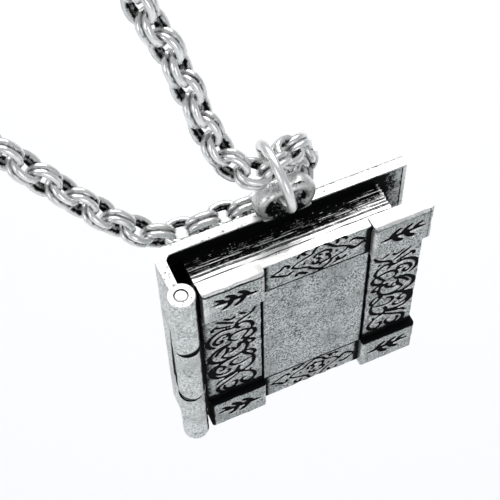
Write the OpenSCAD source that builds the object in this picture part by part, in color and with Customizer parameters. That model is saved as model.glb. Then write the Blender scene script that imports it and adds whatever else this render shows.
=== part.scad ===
// A book shaped pendant that opens on a pinned hinge, on a double link chain.
// Millimetres. +Z is up, the book's front cover faces -Y and +X is to the viewer's right.
// The origin is at the nape, where the necklace bears on the back of the neck.

/* [Book] */
// Width of the front cover, from its hinge edge to its free edge
cover_w = 24; // [22:0.5:26]
// Height of both covers
cover_h = 26.3; // [26.1:0.1:27]
// Thickness of the closed book, from the raised corner plates to the back
book_t = 6.8; // [6.4:0.1:7.4]
// Thickness of the back cover
back_t = 1.1; // [0.9:0.1:1.3]
// Thickness of the spine wall
spine_t = 1.0; // [0.8:0.1:1.2]
// Outer radius of the corner between the spine and the back cover
spine_corner_r = 1.5; // [1.2:0.1:2]
// How far the page block stands back from the covers' free edge
page_inset = 3.1; // [2:0.1:4]
// How far the page block stands back from the covers' top and bottom edges
page_drop = 1.35; // [1:0.05:2]
// Number of grooves that part the page edges
page_grooves = 11; // [6:1:14]

/* [Front cover] */
// Thickness of the front cover with its raised corner plates
front_t = 1.7; // [1.6:0.1:2]
// How far the corner plates stand above the cover's panel
corner_raise = 0.85; // [0.6:0.05:0.9]
// Width of the two ornamented columns and of the corner plates
column_w = 6.3; // [5.8:0.1:6.6]
// Height of a corner plate
corner_h = 4.9; // [4.5:0.1:5.2]
// How far the corner plates stand out past the cover's edges
corner_lip = 0.35; // [0.2:0.05:0.5]
// Height of the columns above the panel
column_raise = 0.15; // [0.1:0.05:0.25]
// Depth of the engraved lines
engrave = 0.15; // [0.1:0.05:0.2]
// Rows of scrolls in each column
scroll_rows = 6; // [4:1:6]

/* [Hinge] */
// Outer radius of the hinge barrel
barrel_r = 1.35; // [1.25:0.05:1.45]
// Radius of the hinge pin
pin_r = 0.65; // [0.5:0.05:0.75]
// Running clearance between the pin and the bore of a knuckle
pin_clear = 0.04; // [0.02:0.01:0.08]
// Clearance between two knuckles, along the pin
knuckle_gap = 0.15; // [0.1:0.05:0.25]
// How far the barrel reaches below the covers
barrel_drop = 0.7; // [0.4:0.1:1]

/* [Cast loop and jump ring] */
// Distance of the loop's centre from the hinge edge of the front cover
loop_x = 11.05; // [10.5:0.05:11.8]
// Outer radius of the loop's round ends
loop_r = 2.15; // [2.1:0.05:2.25]
// Half the length of the loop's straight middle
loop_half = 0.95; // [0.7:0.05:1.1]
// Thickness of the loop's band
loop_band = 1.05; // [0.95:0.05:1.1]
// Depth of the loop, front to back
loop_depth = 1.9; // [1.6:0.1:2.1]
// Height of the loop's centre above the covers' top edge
loop_rise = 1.6; // [1.5:0.05:1.8]
// Radius of the jump ring, to the middle of its wire
ring_r = 3.2; // [3.1:0.05:3.3]
// Radius of the jump ring's wire
ring_wire_r = 0.48; // [0.4:0.02:0.5]
// Lean of the jump ring towards the hinge side, in degrees
ring_lean = 9.5; // [8:0.5:12]

/* [Chain and clasp] */
// Diameter of the chain's envelope
chain_d = 2.8; // [2.4:0.1:2.8]
// Longest distance between two rings of the chain's tube
chain_step = 8; // [7:0.5:9]
// Length of the clasp
clasp_len = 12; // [10:0.5:12]
// Radius of the clasp
clasp_r = 2.2; // [1.8:0.1:2.4]

/* [Hidden] */
$fn = 48;

// Where the front cover's lower hinge corner hangs, seen from the nape
book_at = [30, -120, -150];

// Places inside the book, from that corner: X along the covers, Y from front to back, Z up
panel_y = corner_raise;
back_in_y = book_t - back_t;
hinge_x = -1.64;
hinge_y = 1.09;
spine_reach = 0.81;
spine_out_x = hinge_x - spine_reach;
spine_in_x = spine_out_x + spine_t;
barrel_len = cover_h + barrel_drop;
knuckle_len = (barrel_len - 2 * knuckle_gap) / 3;
knuckle_z = [for (i = [0:2]) -barrel_drop + i * (knuckle_len + knuckle_gap)];
notch_r = barrel_r + 0.25;
bore_r = pin_r + pin_clear;
web_y = 0.9;
web_over = 0.4;
panel_x0 = column_w;
panel_x1 = cover_w - column_w;
overlap = 0.05;

// Page block, clear of both covers
page_x0 = 0.2;
page_x1 = cover_w - page_inset;
page_y0 = front_t + 0.1;
page_y1 = back_in_y - 0.05;
page_z0 = page_drop;
page_z1 = cover_h - page_drop;
groove_w = 0.12;
groove_deep = 0.2;

// Cast loop on the back cover's top edge, and the jump ring through it
loop_y = book_t - back_t / 2;
loop_z = cover_h + loop_rise;
lean_up = [-sin(ring_lean), 0, cos(ring_lean)];
ring_aside = 0.25;
ring_room = 0.39;
pivot = [loop_x - ring_aside, loop_y, loop_z + loop_r - loop_band - ring_wire_r - ring_room];
ring_at = pivot + ring_r * lean_up;

// Widths of the engraved lines
line_w = 0.26;
fine_w = 0.2;
groove_side = 0.25;
dot_r = 0.16;

// The chain's route past the book, from the book's lower hinge corner: the first strand comes
// down from the upper left, goes through the jump ring, turns behind the book and leaves as the
// second strand
route_book = [
    [1.5, 14.2, 52], [3, 12.2, 46], [4.2, 10.4, 41], [5.1, 8.8, 36.8], [6.3, 7.4, 34],
    [8.1, 6.6, 32.5], [10.2, 6.6, 32.3], [12.2, 7.9, 32], [13.9, 9.3, 30.2], [14.9, 9.9, 27.4],
    [14.4, 10, 24.6], [12.3, 9.9, 22.9], [9.7, 9.6, 22.8], [6.8, 9.3, 23.6], [3.6, 9.3, 23.7],
    [0, 9.7, 23.5], [-3.8, 10.9, 26.2], [-8.5, 13, 32], [-14.5, 16, 40]
];
// The plain way from the clasp round the right side of the neck, and back round the left
route_right = [
    [6.1, 2.2, 0], [16, 1.2, 0], [34, -5, -1], [50, -22, -6], [58, -46, -15],
    [57, -69, -28], [50, -86, -47], [41, -97, -68], [34, -103, -84]
];
route_left = [
    [2, -98, -92], [-19, -91, -70], [-38, -80, -49], [-52, -62, -31], [-58, -40, -17],
    [-51, -17, -6], [-34, -4, -1], [-16, 1.2, 0], [-6.1, 2.2, 0]
];
route = concat(route_right, [for (p = route_book) book_at + p], route_left);
chain_sides = 8;

// Vector helpers
function unit(v) = v / norm(v);
function last(v) = v[len(v) - 1];

// One point of a smooth curve that passes through b and c, with neighbours a and d
function curve_point(a, b, c, d, t) = 0.5 * (2 * b + (c - a) * t
    + (2 * a - 5 * b + 4 * c - d) * t * t + (3 * b - a - 3 * c + d) * t * t * t);

// The curve through all points of a route, with short steps where the points lie close
function smooth_route(p) = concat(
    [for (i = [0:len(p) - 2])
        let (a = i == 0 ? p[0] : p[i - 1],
             d = i == len(p) - 2 ? p[i + 1] : p[i + 2],
             steps = ceil(norm(p[i + 1] - p[i]) / chain_step))
        for (k = [0:steps - 1]) curve_point(a, p[i], p[i + 1], d, k / steps)],
    [last(p)]);

function tangents(p) = [for (i = [0:len(p) - 1])
    unit(p[min(i + 1, len(p) - 1)] - p[max(i - 1, 0)])];

// Side directions that turn as little as possible from one ring to the next
function side_dirs(t) = [
    for (i = 0, n = unit(cross(t[0], [0, 0, 1])); i < len(t);
         i = i + 1, n = i < len(t) ? unit(n - (n * t[i]) * t[i]) : n) n];

// A box given by its lowest and highest corners
module block(lo, hi) {
    translate(lo) cube(hi - lo);
}

// A cylinder along the hinge axis, between two heights
module on_hinge(r, z0, z1) {
    translate([hinge_x, hinge_y, z0]) cylinder(r = r, h = z1 - z0);
}

// Cuts a flat drawing into a face of the cover at the height y, with its top towards +Z
module cut_front(x, y, z) {
    translate([x, y + engrave, z]) rotate([90, 0, 0]) linear_extrude(height = 1) children();
}

// A flat line of width w along a list of points, square at both ends
module ribbon(p, w) {
    t = tangents(p);
    ends = len(p) - 1;
    polygon(concat([for (i = [0:ends]) p[i] + w / 2 * [-t[i][1], t[i][0]]],
                   [for (i = [ends:-1:0]) p[i] - w / 2 * [-t[i][1], t[i][0]]]));
}

// A curl that winds inwards from the radius r0 at the angle a0 to the radius r1 at the angle a1
module curl(r0, r1, a0, a1, w) {
    steps = ceil(abs(a1 - a0) / 34);
    ribbon([for (i = [0:steps]) let (a = a0 + (a1 - a0) * i / steps)
        (r0 + (r1 - r0) * i / steps) * [cos(a), sin(a)]], w);
}

// A pointed leaf, len long and 2 * bulge wide
module leaf(len, bulge) {
    steps = 5;
    polygon([for (side = [1, -1]) for (i = [0:steps - 1])
        side * [len * (i / steps - 0.5), bulge * sin(180 * i / steps)]]);
}

module leaf_loop(len, bulge) {
    difference() {
        leaf(len, bulge + fine_w / 2);
        leaf(len - 3 * fine_w, bulge - fine_w / 2);
    }
}

// One row of a column: a spiral on one side and two leaf loops on the other
module scroll_row(w, h) {
    r = min(w / 4.6, h / 2.5);
    translate([r - w / 2 + 0.2, 0]) curl(r, r / 5, -110, 440, line_w);
    translate([w / 4.6, h / 4.4]) rotate(20) leaf_loop(w / 2.7, h / 9);
    translate([w / 4.4, -h / 3.9]) rotate(20) leaf_loop(w / 3, h / 10);
}

// The knot in the middle of a band: a lozenge round a curl, with a leaf loop at each end
module band_knot(w, h) {
    half_w = w / 4.2;
    half_h = h / 2 - 0.45;
    for (sx = [-1, 1]) {
        for (sz = [-1, 1]) {
            ribbon([[sx * half_w, 0], [0, sz * half_h]], fine_w);
            translate([sx * w / 4.6, sz * h / 3.4]) curl(0.5, 0.25, sz * -90, sz * (90 + sx * 60), fine_w);
        }
        translate([sx * w / 2.7, 0]) rotate(sx * 20) leaf_loop(w / 5.6, h / 9);
        translate([sx * w / 6.6, 0]) rotate(45) square(2 * dot_r, center = true);
    }
    curl(0.8, 0.2, -60, 400, fine_w);
}

// A plain sprig for a corner plate: a stem with pairs of leaf strokes, growing towards +X
module sprig(len) {
    pairs = 3;
    stroke = len / 4.2;
    ribbon([[-len / 2, 0], [len / 2, 0]], line_w);
    for (side = [-1, 1]) for (i = [0:pairs - 1]) {
        foot = -len / 3 + i * len / 3.4;
        ribbon([[foot, 0], [foot + stroke * 0.7, side * stroke]], line_w);
    }
}

// The four corner plates, each with an engraved sprig
module corner_plates() {
    for (right = [0, 1]) for (top = [0, 1]) {
        x0 = right * (cover_w - column_w);
        z0 = top * (cover_h - corner_h);
        difference() {
            block([x0, 0, z0], [x0 + column_w, panel_y + overlap, z0 + corner_h]);
            cut_front(x0 + column_w / 2, 0, z0 + corner_h / 2)
                rotate(right ? 0 : 180) sprig(column_w * 0.62);
        }
    }
}

// The two columns between the corner plates, each engraved with rows of scrolls
module columns() {
    z0 = corner_h;
    z1 = cover_h - corner_h;
    row_h = (z1 - z0) / scroll_rows;
    y = panel_y - column_raise;
    for (right = [0, 1]) {
        x0 = right ? panel_x1 + groove_side : 0;
        x1 = right ? cover_w - corner_lip : panel_x0 - groove_side;
        difference() {
            block([x0, y, z0 - overlap], [x1, panel_y + overlap, z1 + overlap]);
            for (i = [0:scroll_rows - 1])
                cut_front((x0 + x1) / 2, y, z0 + (i + 0.5) * row_h)
                    mirror([(i + right) % 2, 0]) scroll_row(x1 - x0 - 0.5, row_h);
        }
    }
}

// Lines cut into the panel: its top and bottom edges, the grooves at its sides and the knots
module panel_lines() {
    z0 = corner_h;
    z1 = cover_h - corner_h;
    for (z = [z0, z1 - fine_w])
        block([panel_x0, panel_y - 1, z], [panel_x1, panel_y + engrave, z + fine_w]);
    for (x = [panel_x0 - groove_side, panel_x1])
        block([x, panel_y - 1, z0], [x + groove_side, panel_y + engrave, z1]);
    for (z = [(corner_h + corner_lip) / 2, cover_h - (corner_h + corner_lip) / 2])
        cut_front(cover_w / 2, panel_y, z) band_knot(panel_x1 - panel_x0, corner_h - corner_lip);
}

module front_cover() {
    color("silver") translate(book_at) difference() {
        union() {
            difference() {
                block([0, panel_y, corner_lip],
                      [cover_w - corner_lip, front_t, cover_h - corner_lip]);
                panel_lines();
            }
            corner_plates();
            columns();
            on_hinge(barrel_r, knuckle_z[1], knuckle_z[1] + knuckle_len);
            block([hinge_x, web_y, knuckle_z[1]],
                  [web_over, front_t, knuckle_z[1] + knuckle_len]);
        }
        on_hinge(bore_r, knuckle_z[1] - 1, knuckle_z[1] + knuckle_len + 1);
    }
}

// Plan of the spine wall and the back cover, with the round corner between them
module shell_plan() {
    corner = [spine_out_x + spine_corner_r, book_t - spine_corner_r];
    difference() {
        union() {
            translate([spine_out_x, hinge_y]) square([spine_t, corner[1] - hinge_y]);
            translate(corner) circle(r = spine_corner_r);
            translate([corner[0], back_in_y]) square([cover_w - corner[0], back_t]);
        }
        translate([spine_in_x, hinge_y]) square([cover_w, back_in_y - hinge_y]);
    }
}

// Ring of two round ends and a straight middle, seen from the front
module loop_outline(r) {
    for (side = [-1, 1]) translate([side * loop_half, 0]) circle(r = r);
    square([2 * loop_half, 2 * r], center = true);
}

module cast_loop() {
    translate([loop_x, loop_y + loop_depth / 2, loop_z]) rotate([90, 0, 0])
        linear_extrude(height = loop_depth) difference() {
            loop_outline(loop_r);
            loop_outline(loop_r - loop_band);
        }
}

module back_cover() {
    color("silver") translate(book_at) difference() {
        union() {
            linear_extrude(height = cover_h) shell_plan();
            for (i = [0, 2]) on_hinge(barrel_r, knuckle_z[i], knuckle_z[i] + knuckle_len);
            cast_loop();
        }
        // Room for the front cover's knuckle to turn
        on_hinge(notch_r, knuckle_z[1] - knuckle_gap, knuckle_z[2]);
        on_hinge(bore_r, -barrel_drop - 1, cover_h + 1);
    }
}

module page_block() {
    pitch = (page_y1 - page_y0) / (page_grooves + 1);
    color("dimgray") translate(book_at) difference() {
        block([page_x0, page_y0, page_z0], [page_x1, page_y1, page_z1]);
        for (i = [1:page_grooves]) {
            y = page_y0 + i * pitch - groove_w / 2;
            block([page_x0 - 1, y, page_z1 - groove_deep], [page_x1 + 1, y + groove_w, page_z1 + 1]);
            block([page_x0 - 1, y, page_z0 - 1], [page_x1 + 1, y + groove_w, page_z0 + groove_deep]);
            block([page_x1 - groove_deep, y, page_z0 - 1], [page_x1 + 1, y + groove_w, page_z1 + 1]);
        }
    }
}

module hinge_pin() {
    color("gainsboro") translate(book_at) on_hinge(pin_r, -barrel_drop, cover_h);
}

module jump_ring() {
    color("gainsboro") translate(book_at + ring_at) rotate([0, 90 - ring_lean, 0])
        rotate_extrude() translate([ring_r, 0]) circle(r = ring_wire_r);
}

module chain() {
    path = smooth_route(route);
    tangent = tangents(path);
    side = side_dirs(tangent);
    rings = len(path);
    points = [for (i = [0:rings - 1]) let (up = cross(tangent[i], side[i]))
        for (k = [0:chain_sides - 1]) let (a = 360 * k / chain_sides)
            path[i] + chain_d / 2 * (cos(a) * side[i] + sin(a) * up)];
    walls = [for (i = [0:rings - 2]) for (k = [0:chain_sides - 1])
        let (n = (k + 1) % chain_sides, a = i * chain_sides)
            [a + k, a + chain_sides + k, a + chain_sides + n, a + n]];
    start_face = [for (k = [0:chain_sides - 1]) k];
    end_face = [for (k = [chain_sides - 1:-1:0]) (rings - 1) * chain_sides + k];
    color("gainsboro") polyhedron(points, concat(walls, [start_face, end_face]));
}

module clasp() {
    neck_r = clasp_r * 0.6;
    taper = 2;
    color("gainsboro") translate([-clasp_len / 2, clasp_r, 0]) rotate([0, 90, 0]) {
        cylinder(r1 = neck_r, r2 = clasp_r, h = taper);
        translate([0, 0, taper]) cylinder(r = clasp_r, h = clasp_len - 2 * taper);
        translate([0, 0, clasp_len - taper]) cylinder(r1 = clasp_r, r2 = neck_r, h = taper);
    }
}

back_cover();
page_block();
hinge_pin();
front_cover();
jump_ring();
chain();
clasp();
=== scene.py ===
# %% [markdown]
# # A silver book pendant on a double link chain
#
# The real object is cast in pewter or silver, dipped in a black patina and polished again. The
# black stays wherever the polishing wheel can't reach: in the engraved lines, along the steps and
# between the page edges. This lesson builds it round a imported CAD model, piece by piece.
#
# The first cell loads that model. Its solids are never moved. Each one is hidden, and a finer
# piece of the same size takes its place.

# %% Load the fixed frame
import math
from contextlib import contextmanager
from functools import partial

import bmesh
import bpy
import numpy as np
from mathutils import Matrix, Vector


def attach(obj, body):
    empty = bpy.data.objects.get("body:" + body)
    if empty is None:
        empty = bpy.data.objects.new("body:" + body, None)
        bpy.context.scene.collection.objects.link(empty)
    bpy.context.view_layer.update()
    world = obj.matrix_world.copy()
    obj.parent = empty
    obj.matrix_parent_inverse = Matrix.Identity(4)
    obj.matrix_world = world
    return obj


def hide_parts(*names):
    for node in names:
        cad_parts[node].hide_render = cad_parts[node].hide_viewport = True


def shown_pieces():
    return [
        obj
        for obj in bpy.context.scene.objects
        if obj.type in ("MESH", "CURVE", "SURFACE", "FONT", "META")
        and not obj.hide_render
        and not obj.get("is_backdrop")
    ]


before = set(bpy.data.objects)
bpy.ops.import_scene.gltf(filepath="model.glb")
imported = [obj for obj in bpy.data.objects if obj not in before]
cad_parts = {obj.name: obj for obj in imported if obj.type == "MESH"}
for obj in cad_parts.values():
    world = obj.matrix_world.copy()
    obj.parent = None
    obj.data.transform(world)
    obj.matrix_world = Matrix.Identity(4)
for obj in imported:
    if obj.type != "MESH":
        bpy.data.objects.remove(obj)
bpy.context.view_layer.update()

print("nodes", sorted(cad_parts))

# %% [markdown]
# ## Sizes and helpers
#
# The CAD source was drawn in millimetres from the lower hinge corner of the front cover, with X
# along the covers, Y from front to back and Z up. The same numbers are used here, so every piece
# lands where the CAD says. A small helper turns them into metres in the shared frame.

# %% Sizes of the book
MM = 0.001
BOOK_AT = np.array([30.0, -120.0, -150.0])
COVER_W, COVER_H, BOOK_T = 24.0, 26.3, 6.8
FRONT_T, BACK_T, RAISE, LIP = 1.7, 1.1, 0.85, 0.35
COLUMN_W, CORNER_H, COLUMN_RAISE, GROOVE = 6.3, 4.9, 0.15, 0.25
HINGE_X, HINGE_Y = -1.64, 1.09
BARREL_R, PIN_R, BORE_R = 1.35, 0.65, 0.69
KNUCKLE_LEN = 8.9
KNUCKLE_Z = (-0.7, 8.35, 17.4)
LOOP_X, LOOP_Y, LOOP_Z = 11.05, 6.25, 27.9
LOOP_R, LOOP_HALF, LOOP_BAND, LOOP_DEPTH = 2.15, 0.95, 1.05, 1.9
print("book in mm", COVER_W, COVER_H, BOOK_T)

# %% Book millimetres to metres, and back


def in_frame(points):
    """Book millimetres to frame metres."""
    return (np.asarray(points, float) + BOOK_AT) * MM


def in_book(mesh):
    """The points of a mesh in frame metres, given in book millimetres."""
    flat = np.zeros(len(mesh.vertices) * 3)
    mesh.vertices.foreach_get("co", flat)
    return flat.reshape(-1, 3) / MM - BOOK_AT


print("book corner in metres", in_frame((0, 0, 0)))

# %% Mesh helpers


def add_object(name, data):
    """An object in the scene that shows the data."""
    made = bpy.data.objects.new(name, data)
    bpy.context.scene.collection.objects.link(made)
    return made


@contextmanager
def edited(mesh):
    """Opens a mesh for editing, and writes it back at the end."""
    work = bmesh.new()
    work.from_mesh(mesh)
    yield work
    work.to_mesh(mesh)
    work.free()


def face_outwards(mesh, merge=0.0):
    """Turns every face of the closed shells outwards, after points closer than merge are joined."""
    with edited(mesh) as work:
        if merge:
            bmesh.ops.remove_doubles(work, verts=work.verts, dist=merge)
        bmesh.ops.recalc_face_normals(work, faces=work.faces)


def smooth(mesh, sharp_deg):
    """Shades the mesh smooth, except at edges sharper than sharp_deg."""
    mesh.shade_smooth()
    mesh.set_sharp_from_angle(angle=math.radians(sharp_deg))


def new_object(name, points, faces, sharp_deg=35.0):
    """A smooth mesh object from points in metres."""
    mesh = bpy.data.meshes.new(name)
    mesh.from_pydata([tuple(p) for p in points], [], faces)
    mesh.validate()
    face_outwards(mesh)
    smooth(mesh, sharp_deg)
    return add_object(name, mesh)


def triangles(obj):
    return sum(len(p.vertices) - 2 for p in obj.data.polygons)


print("mesh helpers ready")

# %% Patina and painted light on the points


def store(obj, patina):
    """Keeps one number per point as the attribute that the materials and trees read."""
    layer = obj.data.attributes.new("patina", "FLOAT", "POINT")
    layer.data.foreach_set("value", np.asarray(patina, np.float32))


def finish_with(obj, patina, metal):
    """Gives a piece its patina and painted light, and its one material."""
    store(obj, patina)
    obj.data.materials.clear()
    obj.data.materials.append(metal)


def patina_and_painted_light_of(obj):
    layer = obj.data.attributes["patina"]
    values = np.zeros(len(layer.data), np.float32)
    layer.data.foreach_get("value", values)
    return values


print("patina helpers ready")

# %% Smooth random numbers


def noise_1d(count, seed, steps):
    """Smooth random numbers from -1 to 1, with about count / steps ups and downs."""
    rng = np.random.default_rng(seed)
    knots = rng.uniform(-1, 1, count // steps + 3)
    return np.interp(np.arange(count) / steps, np.arange(len(knots)), knots)


def smooth_step(t):
    t = np.clip(t, 0, 1)
    return t * t * (3 - 2 * t)


print("smooth step at a quarter", smooth_step(0.25))

# %% [markdown]
# ## Camera, floor and light
#
# The photograph looks down on the pendant from the upper left. The camera's place and axes came
# from fitting the corners of the covers in the picture, so they are given as three directions
# instead of angles. The floor is a pale sheet well below, and the light is soft: a wide panel
# overhead makes the upward edges white, and two dimmer ones fill in from the left and the front.

# %% Camera
CAMERA_AT = Vector((0.0109, -0.1766, -0.0280))
CAMERA_AXES = ((0.9113624, -0.4112827, -0.0162832),
               (0.3491441, 0.7515078, 0.5597628),
               (-0.2179838, -0.5158320, 0.8284929))
camera = add_object("camera", bpy.data.cameras.new("camera"))
bpy.context.scene.camera = camera
camera.matrix_world = Matrix.Translation(CAMERA_AT) @ Matrix(CAMERA_AXES).transposed().to_4x4()
camera.data.lens = 89.82
camera.data.sensor_width = 36.0
camera.data.clip_start = 0.002
camera.data.clip_end = 10.0
print("camera to book", round((Vector(in_frame((12, 3, 13))) - CAMERA_AT).length * 1000), "mm")

# %% Floor
FLOOR_Z = -0.22
bpy.ops.mesh.primitive_plane_add(size=4.0, location=(0, 0, FLOOR_Z))
floor = bpy.context.object
floor.name = "floor"
paper = bpy.data.materials.new("pale floor")
paper.use_nodes = True
paper_sockets = paper.node_tree.nodes["Principled BSDF"].inputs
paper_sockets["Base Color"].default_value = (0.95, 0.95, 0.95, 1)
paper_sockets["Roughness"].default_value = 0.9
floor.data.materials.append(paper)
floor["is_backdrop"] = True
print("floor at", FLOOR_Z)

# %% Soft studio light
PENDANT = (0.042, -0.117, -0.137)


def soft_panel(name, place, size, power):
    """A square area light at place that faces the pendant."""
    lamp = bpy.data.lights.new(name, "AREA")
    lamp.shape = "SQUARE"
    lamp.size = size
    lamp.energy = power
    holder = add_object(name, lamp)
    holder.location = place
    aim = Vector(PENDANT) - Vector(place)
    holder.rotation_euler = aim.to_track_quat("-Z", "Y").to_euler()


soft_panel("overhead panel", (0.163, 0.118, 0.29), 0.5, 2.2)
soft_panel("left panel", (-0.5, -0.35, 0.12), 0.4, 0.7)
soft_panel("front panel", (0.1, -0.75, 0.05), 0.4, 0.7)
world = bpy.data.worlds.new("studio")
world.use_nodes = True
sky = world.node_tree.nodes["Background"].inputs
sky["Color"].default_value = (0.93, 0.95, 1.0, 1)
sky["Strength"].default_value = 0.45
bpy.context.scene.world = world
bpy.context.scene.view_settings.view_transform = "Standard"
print("three panels and a plain world")

# %% [markdown]
# ## The aged silver finish, with painted light and shade
#
# Every metal piece shares one idea: bright silver that turns black where an attribute called
# patina is near 1, as patina in the hollows and as painted shade. Below 0 the
# metal turns lighter: a painted highlight on some pieces, a lighter tone on others. Upward faces
# are painted lighter too, as if lit from above. A node group turns that attribute and a little
# noise into a colour, a roughness, a metallic value and a height for the bump. A single material
# could do it too, but six finishes would then need six copies of the same nodes. Each material
# sets its own grain, and keeps its own Principled shader outside the group.

# %% Node helpers


def socket(found, name):
    """The socket in use of that name, or the one at that index."""
    if isinstance(name, int):
        return found[name]
    return [s for s in found if s.name == name and s.enabled][0]


def put(tree, kind, inputs=None, out=0, **settings):
    """Adds a node, sets or links its inputs, and returns one of its outputs."""
    made = tree.nodes.new(kind)
    for key, value in settings.items():
        setattr(made, key, value)
    for key, value in (inputs or {}).items():
        target = socket(made.inputs, key)
        if isinstance(value, bpy.types.NodeSocket):
            tree.links.new(value, target)
        else:
            target.default_value = value
    return socket(made.outputs, out)


def calc(tree, operation, a, b=0.0, c=None, clamp=False):
    """A Math node."""
    inputs = {0: a, 1: b}
    if c is not None:
        inputs[2] = c
    return put(tree, "ShaderNodeMath", inputs, operation=operation, use_clamp=clamp)


def sums(tree):
    """Short names for four Math nodes in one tree: plus, minus, times and the larger of two."""
    return [partial(calc, tree, name) for name in ("ADD", "SUBTRACT", "MULTIPLY", "MAXIMUM")]


def ramp(tree, value, low, high, to_low=0.0, to_high=1.0, **settings):
    """A clamped Map Range node."""
    return put(tree, "ShaderNodeMapRange", {"Value": value, "From Min": low, "From Max": high,
                                            "To Min": to_low, "To Max": to_high}, **settings)


def new_group(name, kind, inputs, outputs):
    """A node group with named sockets. inputs and outputs list name, type and default."""
    tree = bpy.data.node_groups.new(name, kind)
    for way, rows in (("INPUT", inputs), ("OUTPUT", outputs)):
        for label, socket_type, default in rows:
            made = tree.interface.new_socket(label, in_out=way, socket_type=socket_type)
            if default is not None:
                made.default_value = default
    return tree, tree.nodes.new("NodeGroupInput").outputs, tree.nodes.new("NodeGroupOutput").inputs


def layout(tree):
    """Puts the nodes in rows of six, so that they don't lie on top of each other."""
    for i, item in enumerate(tree.nodes):
        item.location = (i % 6 * 220, -(i // 6) * 260)


def keep_patina_and_painted_light(tree, shape, value):
    """Stores the value as the patina and painted light of each point."""
    return put(tree, "GeometryNodeStoreNamedAttribute",
               {"Geometry": shape, "Name": "patina", "Value": value}, data_type="FLOAT",
               domain="POINT")


def end_tree(tree, shape, metal, end):
    """Realizes the instances, sets the material and hands the result over."""
    real = put(tree, "GeometryNodeRealizeInstances", {"Geometry": shape})
    dressed = put(tree, "GeometryNodeSetMaterial", {"Geometry": real, "Material": metal})
    tree.links.new(dressed, end)
    layout(tree)


print("node helpers ready")

# %% The aged silver group, with painted light
FLOAT, COLOUR = "NodeSocketFloat", "NodeSocketColor"
aged, given, results = new_group(
    "aged silver and painted light", "ShaderNodeTree",
    [("Patina and painted light", FLOAT, 0.0), ("Silver", COLOUR, (0.8, 0.8, 0.8, 1)),
     ("Grain per m", FLOAT, 6500.0), ("Grain depth", FLOAT, 0.5), ("Speckle", FLOAT, 0.3),
     ("Pits", FLOAT, 0.3), ("Stain", FLOAT, 0.22), ("Polish", FLOAT, 0.25),
     ("Metal share", FLOAT, 1.0)],
    [("Color", COLOUR, None), ("Roughness", FLOAT, None), ("Metallic", FLOAT, None),
     ("Height", FLOAT, None)])
plus, minus, times, larger = sums(aged)
fit = partial(ramp, aged)
place = put(aged, "ShaderNodeTexCoord", out="Object")
upward = put(aged, "ShaderNodeSeparateXYZ", {0: put(aged, "ShaderNodeTexCoord", out="Normal")},
             out="Z")


def noise(scale, detail, rough, twist=0.0):
    """A noise texture on the object's own coordinates."""
    return put(aged, "ShaderNodeTexNoise", {"Vector": place, "Scale": scale, "Detail": detail,
                                            "Roughness": rough, "Distortion": twist})


def mixed(share, first, second):
    """A mix of two colours."""
    return put(aged, "ShaderNodeMix", {"Factor": share, 6: first, 7: second}, out=2,
               data_type="RGBA")


print("group inputs", [s.name for s in given if s.name])

# %% Painted light and shade, pits, stains and dirt
# Below 0 the stored value makes the metal lighter: a painted highlight on the plate rims, beside the
# grooves, on the ring's crown and on the loop's top, and a lighter tone on the middle knuckle and
# beside the hinge. Upward faces are painted lighter too, as if lit from above.
lightening = fit(given["Patina and painted light"], 0.0, -1.0)
top_light_and_lightening = larger(fit(upward, 0.25, 0.85), lightening)
fine = noise(given["Grain per m"], 3.0, 0.6)
cloudy = noise(900.0, 4.0, 0.6, 0.8)
broad = noise(260.0, 3.0, 0.55)
holes = noise(2600.0, 2.0, 0.7)
pit = times(fit(holes, 0.42, 0.3), given["Pits"])
worn = fit(cloudy, 0.35, 0.65, 0.55, 1.0)
guard = times(given["Speckle"], calc(aged, "MULTIPLY_ADD", top_light_and_lightening, -0.85, 1.0))
speck = times(times(fit(fine, 0.54, 0.47), worn), guard)
stain = times(fit(broad, 0.46, 0.7), given["Stain"])
dust = plus(times(minus(fine, 0.5), 0.9), times(minus(cloudy, 0.5), 0.7))
# Towards 1 the stored value blackens and darkens the metal: patina in the hollows, and painted shade
# where the pieces set it.
black = times(fit(plus(dust, given["Patina and painted light"]), 0.3, 0.62), fit(given["Patina and painted light"], 0.02, 0.12))
patina_and_shade_darkening = times(given["Patina and painted light"], 0.75)
dull = larger(larger(pit, stain), larger(speck, patina_and_shade_darkening))
dirt_and_shade = larger(black, dull, clamp=True)
print("nodes for the masks", len(aged.nodes))

# %% Colour, roughness and height
cast = mixed(fit(cloudy, 0.3, 0.7, 0.0, 0.3), given["Silver"], (0.52, 0.58, 0.57, 1))
tone = mixed(top_light_and_lightening, cast, (0.96, 0.955, 0.94, 1))
# The black of the patina and of the painted shade
PATINA_AND_SHADE_BLACK = (0.003, 0.0033, 0.0036, 1)
rough = plus(given["Polish"], times(dirt_and_shade, 0.4), clamp=True)
grain = times(fine, given["Grain depth"])
for name, value in (
        ("Color", mixed(dirt_and_shade, tone, PATINA_AND_SHADE_BLACK)),
        ("Roughness", calc(aged, "MULTIPLY_ADD", minus(broad, 0.5), 0.25, rough, clamp=True)),
        ("Metallic", times(minus(1.0, black, clamp=True), given["Metal share"])),
        ("Height", minus(calc(aged, "MULTIPLY_ADD", cloudy, 0.6, grain), pit))):
    aged.links.new(value, results[name])
layout(aged)
print("group sockets", [s.name for s in aged.interface.items_tree])

# %% One material from the group


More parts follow.
